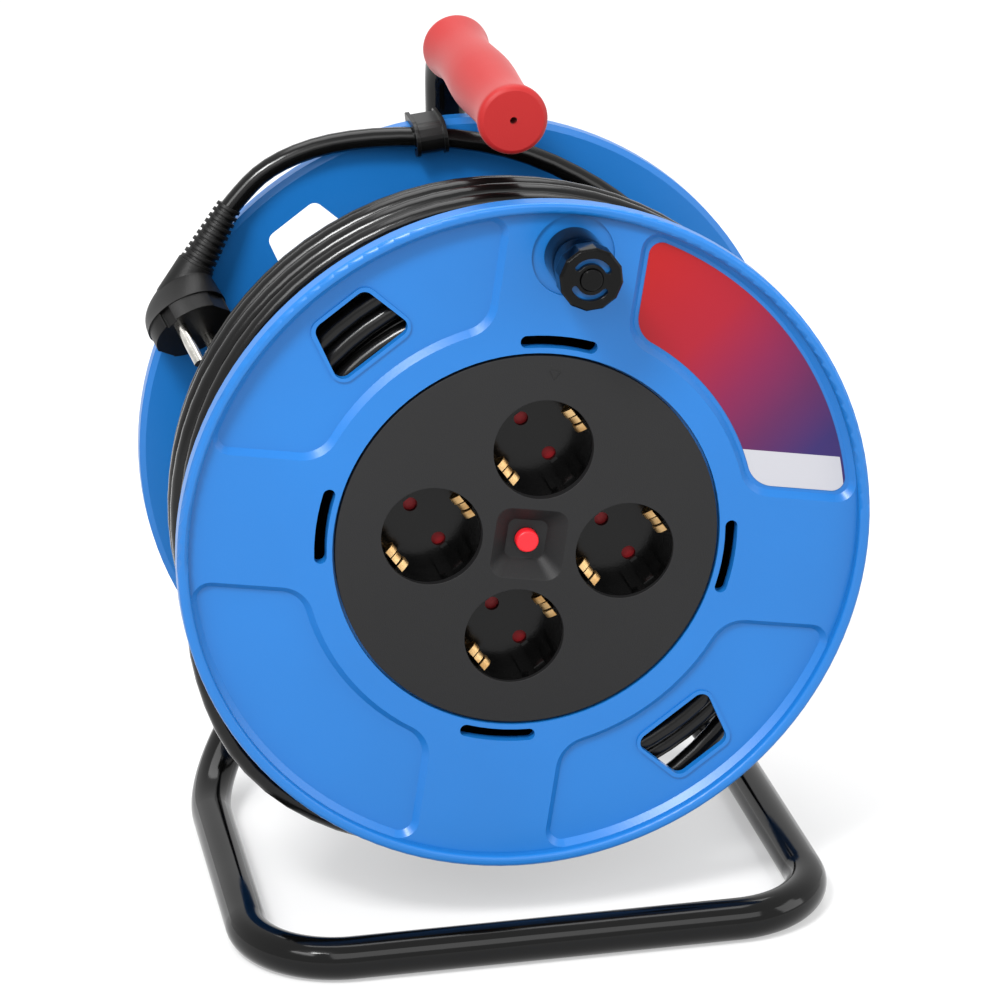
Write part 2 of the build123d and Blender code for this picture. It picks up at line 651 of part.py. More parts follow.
# ---- winding knob -----------------------------------------------------------------------------
KNOB_BASE = FACE_DROP + KNOB_WELL_D - KNOB_LIFT
FACET_AT = -KNOB_OUT + KNOB_FACET_LEN
with BuildPart() as knob:
    with BuildSketch(front_view(KNOB_BASE, x=knob_x, z=knob_z)):
        Circle(KNOB_R)
    extrude(amount=KNOB_BASE - FACET_AT, taper=-1.0)
    with BuildSketch(front_view(FACET_AT, x=knob_x, z=knob_z)):
        RegularPolygon(KNOB_END_R, 12)
    extrude(amount=KNOB_FACET_LEN)
    front_edges = knob.edges().group_by(Axis.Y)[0]
    chamfer(front_edges, 0.8)
    with BuildSketch(front_view(KNOB_BASE, x=knob_x, z=knob_z)):
        Circle(POST_KNOB_R + RUN_FIT)
    extrude(amount=KNOB_BASE + KNOB_OUT - KNOB_WALL, mode=Mode.SUBTRACT)
    knob_end = front_view(-KNOB_OUT + KNOB_WALL, x=knob_x, z=knob_z)
    with BuildSketch(knob_end):
        Circle(POST_SCREW_R + 1 + RUN_FIT)
    extrude(amount=KNOB_WALL, mode=Mode.SUBTRACT)
    with BuildSketch(front_view(-KNOB_OUT + KNOB_SINK, x=knob_x, z=knob_z)):
        Circle(TIE_HEAD_R + 0.3)
    extrude(amount=KNOB_SINK, mode=Mode.SUBTRACT)
    for at in (90, 270):
        crescent = slot_sketch(knob_end, KNOB_SLOT_R, at, KNOB_SLOT_ARC, KNOB_SLOT_W)
        extrude(crescent, amount=KNOB_WALL, mode=Mode.SUBTRACT)
save(knob, "knob")

with BuildPart() as knob_screw:
    with BuildSketch(front_view(-KNOB_OUT + KNOB_SINK - RUN_FIT, x=knob_x, z=knob_z)):
        Circle(TIE_HEAD_R)
    extrude(amount=1.4)
    with BuildSketch(front_view(KNOB_POST_END, x=knob_x, z=knob_z)):
        Circle(POST_SCREW_R + 1)
    extrude(amount=KNOB_POST_END + KNOB_OUT - KNOB_SINK + RUN_FIT)
    with BuildSketch(front_view(KNOB_POST_END + KNOB_THREAD, x=knob_x, z=knob_z)):
        Circle(TIE_BOLT_R)
    extrude(amount=KNOB_THREAD)
save(knob_screw, "knob_screw")

# ---- sticker in one panel ---------------------------------------------------------------------
LABEL_T = 0.3
with BuildPart() as label:
    extrude(panel_sketch(front_view(FACE_DROP + RELIEF), 1.5), amount=LABEL_T)
save(label, "label")

# ---- winding, tail and plug -------------------------------------------------------------------
with BuildPart() as cable_coil:
    with BuildSketch(SECTION) as profile:
        with BuildLine():
            Polyline(
                (FLANGE_D + COIL_END_GAP, CORE_R + COIL_FIT),
                (W - FLANGE_D - COIL_END_GAP, CORE_R + COIL_FIT),
                (W - FLANGE_D - COIL_END_GAP, COIL_BACK_R),
                (COIL_STEP_B, COIL_BACK_R),
                (COIL_STEP_A, COIL_FRONT_R),
                (FLANGE_D + COIL_END_GAP, COIL_FRONT_R),
                close=True,
            )
        make_face()
        outer = profile.vertices().filter_by(lambda v: v.Y > CORE_R + 10)
        fillet(outer, CABLE_R)
    revolve(axis=DRUM_AXIS)
    slack_mid = polar(SLACK_REACH - SLACK_LOOP_R, SLACK_AT)
    with BuildLine(front_view(SLACK_DEPTH, 0)) as slack_line:
        CenterArc(slack_mid, SLACK_LOOP_R, SLACK_AT - 64, 128)
    with BuildSketch(Plane(slack_line.line @ 0, z_dir=slack_line.line % 0)):
        Circle(CABLE_R)
    sweep(path=slack_line.line)
save(cable_coil, "cable_coil")

relief_start = drum_point(*RELIEF_FROM)
corners = [drum_point(*TAIL_FROM)]
corners += [drum_point(*bend) for bend in TAIL_BENDS]
corners += [relief_start]
bend_radii = []
for before, here, after in zip(corners, corners[1:], corners[2:]):
    run_in = here - before
    run_out = after - here
    half_turn = radians(run_in.get_angle(run_out)) / 2
    bend_radii.append(0.45 * min(run_in.length, run_out.length) / tan(half_turn))
with BuildPart() as cable_tail:
    with BuildLine() as tail_line:
        FilletPolyline(*corners, radius=bend_radii)
    with BuildSketch(Plane(tail_line.line @ 0, z_dir=tail_line.line % 0)):
        Circle(CABLE_R)
    sweep(path=tail_line.line)
save(cable_tail, "cable_tail")
tail_length = sum(edge.length for edge in tail_line.edges())
section_volume = pi * CABLE_R**2 * tail_length
print("tail bends", [round(r, 1) for r in bend_radii], "length", round(tail_length, 1))
print("tail volume over section x length", round(cable_tail.part.volume / section_volume, 4))

entry_dir = Vector(*PLUG_ENTRY).normalized()
normal = Vector(*PLUG_NORMAL).normalized()
face_at = drum_point(*PLUG_FACE)
entry_at = relief_start + entry_dir * RELIEF_LEN
relief_axis = Plane(relief_start, x_dir=entry_dir, z_dir=entry_dir.cross(normal))
rib_pitch = RELIEF_LEN / (RELIEF_RIBS + 0.5)
rib_line = []
for k in range(RELIEF_RIBS + 1):
    for share, drop in ((0.0, 0.0), (0.5, 0.0), (0.5, RIB_DEPTH), (1.0, RIB_DEPTH)):
        at = min((k + share) * rib_pitch, RELIEF_LEN)
        outer = RELIEF_TIP_R + (RELIEF_END_R - RELIEF_TIP_R) * at / RELIEF_LEN
        rib_line.append((at, outer - drop))
rib_line = rib_line[:-2]
with BuildPart() as strain_relief:
    with BuildSketch(relief_axis):
        with BuildLine():
            Polyline((0, 0), *rib_line, (RELIEF_LEN, 0), close=True)
        make_face()
    revolve(axis=Axis(relief_start, entry_dir))
save(strain_relief, "strain_relief")

face_plane = Plane(face_at, x_dir=Vector(*PLUG_PIN_LINE), z_dir=normal)
cable_side = normal.cross(Vector(*PLUG_PIN_LINE)).normalized()
hood_plane = Plane(face_at, x_dir=cable_side, z_dir=normal)
tab_lean = radians(TAB_LEAN)
tab_normal = normal * cos(tab_lean) + cable_side * sin(tab_lean)
tab_plane = Plane(
    face_at - normal * TAB_DEPTH + cable_side * TAB_SHIFT,
    x_dir=cable_side * cos(tab_lean) - normal * sin(tab_lean),
    z_dir=-tab_normal,
)
with BuildPart() as plug_body:
    with BuildSketch(hood_plane.offset(-PLUG_EDGE)):
        Ellipse(HOOD_R + 0.01, HOOD_R)
    for depth, shift, long_half, short_half in HOOD_STATIONS:
        with BuildSketch(hood_plane.offset(-depth)):
            with Locations((shift, 0)):
                Ellipse(long_half, short_half)
    loft()
    with BuildSketch(face_plane.offset(-PLUG_EDGE)):
        Circle(PLUG_R)
        with Locations((PLUG_R, 0), (-PLUG_R, 0)):
            Rectangle(2 * PLUG_GROOVE_D, PLUG_GROOVE_W, mode=Mode.SUBTRACT)
        with Locations((0, PLUG_R), (0, -PLUG_R)):
            Rectangle(EARTH_W, 2 * EARTH_POCKET, mode=Mode.SUBTRACT)
    extrude(amount=PLUG_EDGE)
    with BuildSketch(Plane(entry_at, z_dir=entry_dir)):
        Circle(RELIEF_END_R + 0.4)
    extrude(amount=NECK_LEN, taper=-4)
    with BuildSketch(tab_plane.offset(-6)):
        RectangleRounded(TAB_LEN - 3, TAB_W - 3, 1)
    extrude(amount=6 + TAB_T)
    with BuildSketch(tab_plane):
        RectangleRounded(TAB_LEN, TAB_W, 1)
    extrude(amount=TAB_T)
    with BuildSketch(face_plane):
        with Locations((PIN_SPACING / 2, 0), (-PIN_SPACING / 2, 0)):
            Circle(PIN_R)
    extrude(amount=-8, mode=Mode.SUBTRACT)
save(plug_body, "plug_body")

with BuildPart() as plug_pins:
    with BuildSketch(face_plane.offset(-8)):
        with Locations((PIN_SPACING / 2, 0), (-PIN_SPACING / 2, 0)):
            Circle(PIN_R)
    extrude(amount=PIN_LEN + 8)
save(plug_pins, "plug_pins")

# ---- rim clip ---------------------------------------------------------------------------------
clip_radial = polar(1.0, CLIP_AT)
clip_plane = Plane(
    origin=(0, FACE_Y, AXIS_Z), x_dir=(0, 1, 0), z_dir=(clip_radial[1], 0, -clip_radial[0])
)
RIM_TOP = FLANGE_R + 0.05
CLIP_FRONT = CLIP_DEPTH - CABLE_R - CLIP_T - CLIP_ROOM
CABLE_TOP = max(CLIP_CABLE_R + CABLE_R + CLIP_ROOM, RIM_TOP)
CABLE_BOTTOM = CLIP_CABLE_R - CABLE_R - CLIP_ROOM
with BuildPart() as rim_clip:
    with BuildSketch(clip_plane):
        with BuildLine():
            Polyline(
                (CLIP_FRONT, CABLE_BOTTOM - CLIP_T),
                (CLIP_DEPTH, CABLE_BOTTOM - CLIP_T),
                (CLIP_DEPTH, CABLE_BOTTOM),
                (CLIP_FRONT + CLIP_T, CABLE_BOTTOM),
                (CLIP_FRONT + CLIP_T, CABLE_TOP),
                (W - FLANGE_D - 1.5, CABLE_TOP),
                (W - FLANGE_D - 1.5, RIM_TOP),
                (W + 0.05, RIM_TOP),
                (W + 0.05, FLANGE_R - RIM_W - 0.4),
                (W - 2.5, FLANGE_R - RIM_W - 0.4),
                (W - 2.5, FLANGE_R - RIM_W - CLIP_T),
                (W + CLIP_T, FLANGE_R - RIM_W - CLIP_T),
                (W + CLIP_T, CABLE_TOP + CLIP_T - 1.5),
                (W + CLIP_T - 1.5, CABLE_TOP + CLIP_T),
                (CLIP_FRONT + 1.5, CABLE_TOP + CLIP_T),
                (CLIP_FRONT, CABLE_TOP + CLIP_T - 1.5),
                close=True,
            )
        make_face()
    extrude(amount=CLIP_W / 2, both=True)
save(rim_clip, "rim_clip")

# ---- stand ------------------------------------------------------------------------------------
LEG_CROSS_Z = TUBE_R + BASE_HALF_WIDTH / tan(radians(LEG_LEAN))
leg_dir = Vector(sin(radians(LEG_LEAN)), 0, -cos(radians(LEG_LEAN)))
leg_cross = Vector(0, BACK_Y, LEG_CROSS_Z)
leg_top = leg_cross + leg_dir * LEG_END
with BuildPart() as base_tube:
    with BuildLine() as base_line:
        FilletPolyline(
            (-leg_top.X, BACK_Y, leg_top.Z),
            (-BASE_HALF_WIDTH, BACK_Y, TUBE_R),
            (-BASE_HALF_WIDTH, FRONT_Y, TUBE_R),
            (BASE_HALF_WIDTH, FRONT_Y, TUBE_R),
            (BASE_HALF_WIDTH, BACK_Y, TUBE_R),
            (leg_top.X, BACK_Y, leg_top.Z),
            radius=[LEG_BEND_R, BASE_CORNER_R, BASE_CORNER_R, LEG_BEND_R],
        )
    with BuildSketch(Plane(base_line.line @ 0, z_dir=base_line.line % 0)):
        Circle(TUBE_R)
        Circle(TUBE_R - TUBE_WALL, mode=Mode.SUBTRACT)
    sweep(path=base_line.line)
save(base_tube, "base_tube")

GRIP_Z = AXIS_Z + GRIP_ABOVE_AXIS
GRIP_END = FACE_Y + GRIP_FRONT
with BuildPart() as handle_tube:
    with BuildLine() as handle_line:
        FilletPolyline(
            (0, BACK_Y, AXIS_Z + HANDLE_FOOT),
            (0, BACK_Y, GRIP_Z),
            (0, GRIP_END + 8, GRIP_Z),
            radius=HANDLE_BEND_R,
        )
    with BuildSketch(Plane(handle_line.line @ 0, z_dir=handle_line.line % 0)):
        Circle(TUBE_R)
        Circle(TUBE_R - TUBE_WALL, mode=Mode.SUBTRACT)
    sweep(path=handle_line.line)
save(handle_tube, "handle_tube")

with BuildPart() as grip:
    with BuildSketch(Plane(origin=(0, GRIP_END, GRIP_Z), x_dir=(0, 1, 0), z_dir=(1, 0, 0))):
        with BuildLine():
            Line((0, 0), (0, GRIP_R - 2))
            shape = Spline(
                (0, GRIP_R - 2),
                (1.5, GRIP_R - 0.3),
                (5, GRIP_R - 0.2),
                (17, GRIP_NECK_R),
                (GRIP_LEN / 2, GRIP_BELLY_R),
                (GRIP_LEN - 17, GRIP_NECK_R),
                (GRIP_LEN - 5, GRIP_R - 0.2),
                (GRIP_LEN - 1.5, GRIP_R - 0.3),
                (GRIP_LEN, GRIP_R - 2),
            )
            Polyline(
                (GRIP_LEN, GRIP_R - 2),
                (GRIP_LEN, TUBE_R + GRIP_FIT),
                (8 - GRIP_FIT, TUBE_R + GRIP_FIT),
                (8 - GRIP_FIT, 0),
                (0, 0),
            )
        make_face()
    revolve(axis=Axis((0, 0, GRIP_Z), (0, 1, 0)))
    with BuildSketch(Plane(origin=(0, GRIP_END, GRIP_Z), z_dir=(0, -1, 0))):
        Circle(1.5)
    extrude(amount=-8, mode=Mode.SUBTRACT)
save(grip, "grip")

BRACKET_FRONT = W + HUB_BACK + BRACKET_GAP
TUBES = DRUM_WIDTH + DRUM_TO_STAND
CLAMP_BOLTS = [(32, 30), (-32, 30), (46, -14), (-46, -14), (0, -50)]


def cut_tube_grooves():
    """Half-round grooves where the two halves of the clamp close on the three tubes."""
    for lean in (LEG_LEAN, -LEG_LEAN):
        along = Vector(sin(radians(lean)), 0, -cos(radians(lean)))
        with BuildSketch(Plane(leg_cross + along * LEG_END, z_dir=along)) as groove:
            Circle(TUBE_R)
        extrude(groove.sketch, amount=BRACKET_R + 20, mode=Mode.SUBTRACT)
    with BuildSketch(Plane.XY.offset(AXIS_Z + HANDLE_FOOT)) as groove:
        with Locations((0, BACK_Y)):
            Circle(TUBE_R)
    extrude(groove.sketch, amount=BRACKET_R, mode=Mode.SUBTRACT)


with BuildPart() as hub_bracket:
    with BuildSketch(front_view(TUBES, 0)):
        Circle(BRACKET_R)
    extrude(amount=TUBES - BRACKET_FRONT - 6, taper=4)
    with BuildSketch(front_view(TUBES, 0)):
        Circle(HUB_R + 2)
    extrude(amount=TUBES - BRACKET_FRONT)
    cut_tube_grooves()
    with BuildSketch(front_view(TUBES, 0)):
        Circle(AXLE_R + CUP_FIT)
    extrude(amount=TUBES - BRACKET_FRONT, mode=Mode.SUBTRACT)
    with BuildSketch(front_view(TUBES, 0)):
        Circle(AXLE_FLANGE_R + CUP_FIT)
    extrude(amount=AXLE_FLANGE_T, mode=Mode.SUBTRACT)
    with BuildSketch(front_view(TUBES, 0)):
        with Locations(*CLAMP_BOLTS):
            Circle(CLAMP_BOLT_R)
    extrude(amount=12, mode=Mode.SUBTRACT)
save(hub_bracket, "hub_bracket")

COVER_END = TUBES + TUBE_R + COVER_SKIN
with BuildPart() as hub_cover:
    with BuildSketch(front_view(COVER_END, 0)):
        Circle(BRACKET_R)
    extrude(amount=COVER_END - TUBES)
    fillet(hub_cover.edges().group_by(Axis.Y)[-1], 3)
    cut_tube_grooves()
    with BuildSketch(front_view(COVER_END, 0)):
        with Locations(*CLAMP_BOLTS):
            Circle(CLAMP_BOLT_R)
    extrude(amount=COVER_END - TUBES, mode=Mode.SUBTRACT)
    with BuildSketch(front_view(COVER_END, 0)):
        with Locations(*CLAMP_BOLTS):
            Circle(CLAMP_HEAD_R + 0.3)
    extrude(amount=CLAMP_HEAD_H + 0.5, mode=Mode.SUBTRACT)
save(hub_cover, "hub_cover")

with BuildPart() as clamp_bolts:
    with BuildSketch(front_view(COVER_END - 0.5, 0)):
        with Locations(*CLAMP_BOLTS):
            Circle(CLAMP_HEAD_R)
    extrude(amount=CLAMP_HEAD_H)
    with BuildSketch(front_view(COVER_END - 0.5 - CLAMP_HEAD_H, 0)):
        with Locations(*CLAMP_BOLTS):
            Circle(CLAMP_BOLT_R)
    extrude(amount=COVER_END - CLAMP_HEAD_H - TUBES + 10)
save(clamp_bolts, "clamp_bolts")

HUB_INNER = W - FLANGE_D - HUB_IN
with BuildPart() as axle:
    with BuildSketch(front_view(TUBES, 0)):
        Circle(AXLE_FLANGE_R)
    extrude(amount=AXLE_FLANGE_T)
    with BuildSketch(front_view(TUBES, 0)):
        Circle(AXLE_R)
    extrude(amount=TUBES - HUB_INNER + RUN_FIT)
    with BuildSketch(front_view(HUB_INNER + 14, 0)):
        Circle(CLAMP_BOLT_R)
    extrude(amount=14 + RUN_FIT, mode=Mode.SUBTRACT)
save(axle, "axle")

with BuildPart() as axle_washer:
    with BuildSketch(front_view(HUB_INNER - RUN_FIT, 0)):
        Circle(WASHER_R)
        Circle(CLAMP_BOLT_R, mode=Mode.SUBTRACT)
    extrude(amount=WASHER_T)
save(axle_washer, "axle_washer")

with BuildPart() as axle_screw:
    with BuildSketch(front_view(HUB_INNER - RUN_FIT - WASHER_T, 0)):
        Circle(CLAMP_HEAD_R)
    extrude(amount=CLAMP_HEAD_H)
    with BuildSketch(front_view(HUB_INNER + 12, 0)):
        Circle(CLAMP_BOLT_R)
    extrude(amount=12 + RUN_FIT + WASHER_T)
save(axle_screw, "axle_screw")
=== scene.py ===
"""Extension cord reel: materials, stage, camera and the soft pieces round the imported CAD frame."""
import math

import bmesh
import bpy
import numpy as np
from mathutils import Matrix, Vector


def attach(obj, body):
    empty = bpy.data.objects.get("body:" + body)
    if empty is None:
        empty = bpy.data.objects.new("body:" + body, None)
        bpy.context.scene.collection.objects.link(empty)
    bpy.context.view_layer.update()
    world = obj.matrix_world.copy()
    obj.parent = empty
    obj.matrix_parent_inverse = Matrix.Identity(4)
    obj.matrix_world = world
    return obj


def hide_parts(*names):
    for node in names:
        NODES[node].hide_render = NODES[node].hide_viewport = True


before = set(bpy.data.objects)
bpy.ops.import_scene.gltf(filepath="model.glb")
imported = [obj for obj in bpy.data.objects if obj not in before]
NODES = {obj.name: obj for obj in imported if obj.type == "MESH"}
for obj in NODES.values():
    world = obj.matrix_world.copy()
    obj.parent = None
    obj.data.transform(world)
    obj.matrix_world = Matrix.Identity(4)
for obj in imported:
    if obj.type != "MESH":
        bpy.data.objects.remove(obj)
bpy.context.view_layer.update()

# ---- the drum's own frame ----------------------------------------------------------------------
FACE_Y = -0.0735      # front face of the front rim, m
AXIS_Z = 0.1681       # height of the drum's axis, m
DRUM_TURN = -9.3      # how far the drum is turned where it is parked, degrees
TAU = 2 * math.pi


def on_drum(angle, radius, depth):
    """Points round the drum axis: angle in degrees from +X towards +Z, radius and depth in mm."""
    a = np.radians(np.asarray(angle, float))
    r = np.asarray(radius, float) / 1000
    y = FACE_Y + np.asarray(depth, float) / 1000
    a, r, y = np.broadcast_arrays(a, r, y)
    return np.stack([r * np.cos(a), y, AXIS_Z + r * np.sin(a)], axis=-1)


# ---- nodes of a material -----------------------------------------------------------------------
def linear(code):
    """Linear values of an sRGB hex colour.

    c / 12.92 up to 0.04045, ((c + 0.055) / 1.055) ** 2.4 above it.
    """
    v = np.array([int(code[i : i + 2], 16) for i in (1, 3, 5)]) / 255
    v = np.where(v <= 0.04045, v / 12.92, ((v + 0.055) / 1.055) ** 2.4)
    return (*v.tolist(), 1.0)


def add_node(tree, kind, settings=None, inputs=None):
    """One shader node: settings are its attributes, inputs are numbers or sockets to link."""
    node = tree.nodes.new(kind)
    for key, value in (settings or {}).items():
        setattr(node, key, value)
    for key, value in (inputs or {}).items():
        if isinstance(value, bpy.types.NodeSocket):
            tree.links.new(value, node.inputs[key])
        else:
            node.inputs[key].default_value = value
    return node


def new_material(name):
    """Empty node material; returns the material, its tree and Object coordinates."""
    made = bpy.data.materials.new(name)
    made.use_nodes = True
    tree = made.node_tree
    tree.nodes.clear()
    place = add_node(tree, "ShaderNodeTexCoord")
    return made, tree, place.outputs["Object"]


def close(tree, shader):
    """The shader's surface goes to the output of the material."""
    add_node(tree, "ShaderNodeOutputMaterial", inputs={"Surface": shader.outputs["BSDF"]})


def noise(tree, place, scale, detail):
    """Factor of a noise texture with about this many waves to the metre."""
    node = add_node(
        tree, "ShaderNodeTexNoise", inputs={"Vector": place, "Scale": scale, "Detail": detail}
    )
    return node.outputs["Fac"]


def raised(tree, height, distance, normal=None):
    """Normal of a surface that a factor raises by up to this distance in metres."""
    inputs = {"Height": height, "Strength": 1.0, "Distance": distance}
    if normal is not None:
        inputs["Normal"] = normal
    return add_node(tree, "ShaderNodeBump", inputs=inputs).outputs["Normal"]


def ramp(tree, fac, stops):
    """Colour ramp over a factor; stops are (position, hex colour)."""
    node = add_node(tree, "ShaderNodeValToRGB", inputs={"Fac": fac})
    bar = node.color_ramp
    while len(bar.elements) < len(stops):
        bar.elements.new(0.5)
    for element, (at, colour) in zip(bar.elements, stops):
        element.position = at
        element.color = linear(colour)
    return node.outputs["Color"]


def spread(tree, fac, low, high):
    """Factor 0 to 1 spread over a span of numbers."""
    node = add_node(
        tree, "ShaderNodeMapRange", inputs={"Value": fac, "To Min": low, "To Max": high}
    )
    return node.outputs["Result"]


def maths(tree, operation, *values):
    """Result of one operation on numbers or sockets."""
    node = add_node(
        tree,
        "ShaderNodeMath",
        settings={"operation": operation},
        inputs=dict(enumerate(values)),
    )
    return node.outputs["Value"]


CLOUD_SCALE = 9.0                  # slow clouds in the colour, waves to the metre
STAIN_SCALE = 120.0
BRUSH_STRETCH = (1.0, 8.0, 1.0)    # drawn lines are this much finer along Y
BLOOM = (1.0, 0.62, 0.62, 1.0)     # pale red of soft PVC seen at a slant


def moulded(name, dark, light, rough, grain_mm, grain_depth, ior, wave_mm=60.0, wave=0.0006,
            sheen=0.0, edge_mm=0.0):
    """Moulded plastic: cloudy colour, fine grain, a slow unevenness of the wall, soft edges."""
    made, tree, place = new_material(name)
    cloud = noise(tree, place, CLOUD_SCALE, 3.0)
    grain = noise(tree, place, 1000 / grain_mm, 2.0)
    slow = noise(tree, place, 1000 / wave_mm, 1.0)
    normal = None
    if edge_mm:
        edge = add_node(
            tree,
            "ShaderNodeBevel",
            settings={"samples": 6},
            inputs={"Radius": edge_mm / 1000},
        )
        normal = edge.outputs["Normal"]
    normal = raised(tree, slow, wave, normal)
    normal = raised(tree, grain, grain_depth, normal)
    shader = add_node(
        tree,
        "ShaderNodeBsdfPrincipled",
        inputs={
            "Base Color": ramp(tree, cloud, [(0.3, dark), (0.7, light)]),
            "Roughness": spread(tree, cloud, rough - 0.05, rough + 0.05),
            "IOR": ior,
            "Sheen Weight": sheen,
            "Sheen Roughness": 0.4,
            "Sheen Tint": BLOOM,
            "Normal": normal,
        },
    )
    close(tree, shader)
    return made


def metal(name, dark, light, rough, brush_mm, brush_depth):
    """Bare or plated metal with fine drawn lines along one way and small stains."""
    made, tree, place = new_material(name)
    stretch = add_node(
        tree, "ShaderNodeMapping", inputs={"Vector": place, "Scale": BRUSH_STRETCH}
    )
    lines = noise(tree, stretch.outputs["Vector"], 1000 / brush_mm, 3.0)
    stain = noise(tree, place, STAIN_SCALE, 4.0)
    shader = add_node(
        tree,
        "ShaderNodeBsdfPrincipled",
        inputs={
            "Base Color": ramp(tree, stain, [(0.35, dark), (0.65, light)]),
            "Metallic": 1.0,
            "Roughness": spread(tree, lines, rough - 0.08, rough + 0.08),
            "Normal": raised(tree, lines, brush_depth),
        },
    )
    close(tree, shader)
    return made


# Polypropylene: satin, even blue right through, a faint flow unevenness over the big flanges.
BLUE_PP = moulded("moulded_blue_polypropylene", "#125B9C", "#1360A4", 0.33, 1.2, 0.00002, 1.4)
# ABS with a fine spark-eroded grain: the dark plate looks dry and even.
PLATE_ABS = moulded(
    "grained_dark_grey_abs", "#0D0D0E", "#121213", 0.58, 0.5, 0.00006, 1.36, edge_mm=0.5
)
# Polyamide of the recesses: smooth, black and glossy.
CUP_PA = moulded(
    "smooth_black_polyamide", "#030303", "#050505", 0.2, 1.0, 0.00002, 1.3,
    wave_mm=12.0, wave=0.0002,
)
# Structural plastic of the barrel, the clamp, the clip and the contact block.
FRAME_PA = moulded(
    "black_glass_filled_polyamide", "#060606", "#0B0B0C", 0.36, 0.6, 0.00004, 1.32, edge_mm=0.5
)
# Thick gloss paint on steel tube: deep black with sharp reflections and a little orange peel.
TUBE_PAINT = moulded("gloss_black_tube_paint", "#020202", "#040404", 0.11, 3.0, 0.00001, 1.32)
# Soft PVC grip: red, with a pale bloom over the skin where it is seen at a slant.
GRIP_PVC = moulded(
    "soft_red_grip_pvc", "#860B0B", "#920E0E", 0.52, 0.7, 0.00005, 1.36, sheen=0.16
)
# Polypropylene from a polished mould: the glossiest piece, with rounded edges.
KNOB_PP = moulded(
    "glossy_black_polypropylene", "#010101", "#020202", 0.08, 2.0, 0.00001, 1.24, edge_mm=0.9
)
# Polyamide of the shutters: dull and dark red, seen through the pin holes.
SHUTTER_PA = moulded("dull_red_shutter_polyamide", "#6E0A10", "#801018", 0.5, 0.6, 0.00004, 1.3)
# Polyamide of the button: a brighter red and smoother.
BUTTON_PA = moulded("red_button_polyamide", "#C81822", "#D4222C", 0.4, 0.6, 0.00003, 1.36)
# Plasticised PVC sheath: black and shiny, with slow dents where it was pressed in the winding.
CABLE_PVC = moulded(
    "black_cable_pvc", "#040404", "#080808", 0.2, 0.8, 0.00001, 1.34, wave_mm=14.0, wave=0.0002
)
# Moulded-on plug: the same PVC with an eroded skin.
PLUG_RUBBER = moulded(
    "black_plug_pvc", "#050505", "#0A0A0A", 0.44, 0.5, 0.00006, 1.3, edge_mm=0.5
)
# Brass strip as it leaves the press: drawn lines and a little tarnish.
BRASS = metal("stamped_brass_strip", "#A47C4A", "#CDAC7A", 0.4, 0.5, 0.00002)
# Bright nickel over the plug's brass pins.
NICKEL = metal("nickel_plated_brass", "#B4B2AC", "#D8D6D0", 0.16, 0.4, 0.00001)
# Steel with a grey zinc plating.
ZINC = metal("zinc_plated_steel", "#8D9096", "#B9BCC2", 0.34, 0.5, 0.00003)

# The sticker: how its colour runs, by across times RUN_SLANT less up, in metres from the drum axis.
RUN_SLANT = 1.25
RUN_FROM = -0.075
RUN_TO = 0.115
RUN = [(0.0, "#900F13"), (0.3, "#861122"), (0.52, "#68143A"), (0.7, "#4A1843"), (0.88, "#281C50")]
# Its white field: between two heights and two radii, in metres from the drum axis.
FIELD = "#9C9CA1"
FIELD_TOP = 0.0450
FIELD_FOOT = 0.0300
FIELD_IN = 0.0935
FIELD_OUT = 0.1306
SCUFF_SCALE = 160.0


def printed_film():
    """Glossy printed film: red runs into violet towards its lower outer end, one field is white."""
    made, tree, place = new_material("printed_sticker_film")
    turn = add_node(
        tree,
        "ShaderNodeMapping",
        settings={"vector_type": "TEXTURE"},
        inputs={
            "Vector": place,
            "Location": tuple(on_drum(0, 0, 0)),
            "Rotation": (0, -math.radians(DRUM_TURN), 0),
        },
    )
    parts = add_node(tree, "ShaderNodeSeparateXYZ", inputs={"Vector": turn.outputs["Vector"]})
    across, up = parts.outputs["X"], parts.outputs["Z"]
    fall = maths(tree, "SUBTRACT", maths(tree, "MULTIPLY", across, RUN_SLANT), up)
    along = add_node(
        tree,
        "ShaderNodeMapRange",
        inputs={"Value": fall, "From Min": RUN_FROM, "From Max": RUN_TO},
    )
    print_colour = ramp(tree, along.outputs["Result"], RUN)
    across_2 = maths(tree, "POWER", across, 2.0)
    up_2 = maths(tree, "POWER", up, 2.0)
    reach = maths(tree, "SQRT", maths(tree, "ADD", across_2, up_2))
    blank = maths(tree, "LESS_THAN", up, FIELD_TOP)
    blank = maths(tree, "MULTIPLY", blank, maths(tree, "GREATER_THAN", up, FIELD_FOOT))
    blank = maths(tree, "MULTIPLY", blank, maths(tree, "GREATER_THAN", reach, FIELD_IN))
    blank = maths(tree, "MULTIPLY", blank, maths(tree, "LESS_THAN", reach, FIELD_OUT))
    mix = add_node(
        tree,
        "ShaderNodeMix",
        settings={"data_type": "RGBA"},
        inputs={"Factor": blank, "A": print_colour, "B": linear(FIELD)},
    )
    scuff = noise(tree, place, SCUFF_SCALE, 2.0)
    shader = add_node(
        tree,
        "ShaderNodeBsdfPrincipled",
        inputs={
            "Base Color": mix.outputs["Result"],
            "Roughness": spread(tree, scuff, 0.26, 0.36),
            "IOR": 1.3,
        },
    )
    close(tree, shader)
    return made


STICKER = printed_film()

